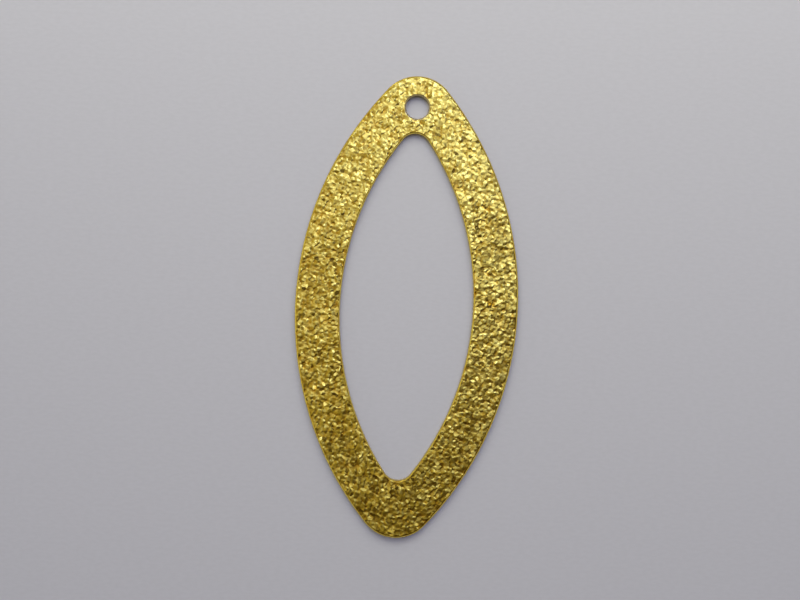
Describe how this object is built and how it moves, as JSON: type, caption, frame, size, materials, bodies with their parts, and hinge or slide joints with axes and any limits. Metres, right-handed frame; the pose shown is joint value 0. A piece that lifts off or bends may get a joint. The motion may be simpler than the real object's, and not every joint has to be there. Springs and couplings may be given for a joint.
{
  "type": "pendant",
  "caption": "Flat marquise (pointed-oval) openwork pendant in grained gold-plated brass sheet, with a pointed-oval cut-out and a round hanging hole at one tip for a jump ring.",
  "frame": {"origin": "middle of the outline, on the flat back face", "axes": "+Z out of the grained front face, +Y along the pendant towards the tip with the hanging hole, +X across it to the right as seen from the front"},
  "size_m": [0.0192, 0.04, 0.0005],
  "materials": {
    "gold_plate": "gold-plated brass, grained on the front and satin on the back"
  },
  "bodies": {
    "root": {"pendant_plate": "gold_plate"}
  },
  "joints": []
}
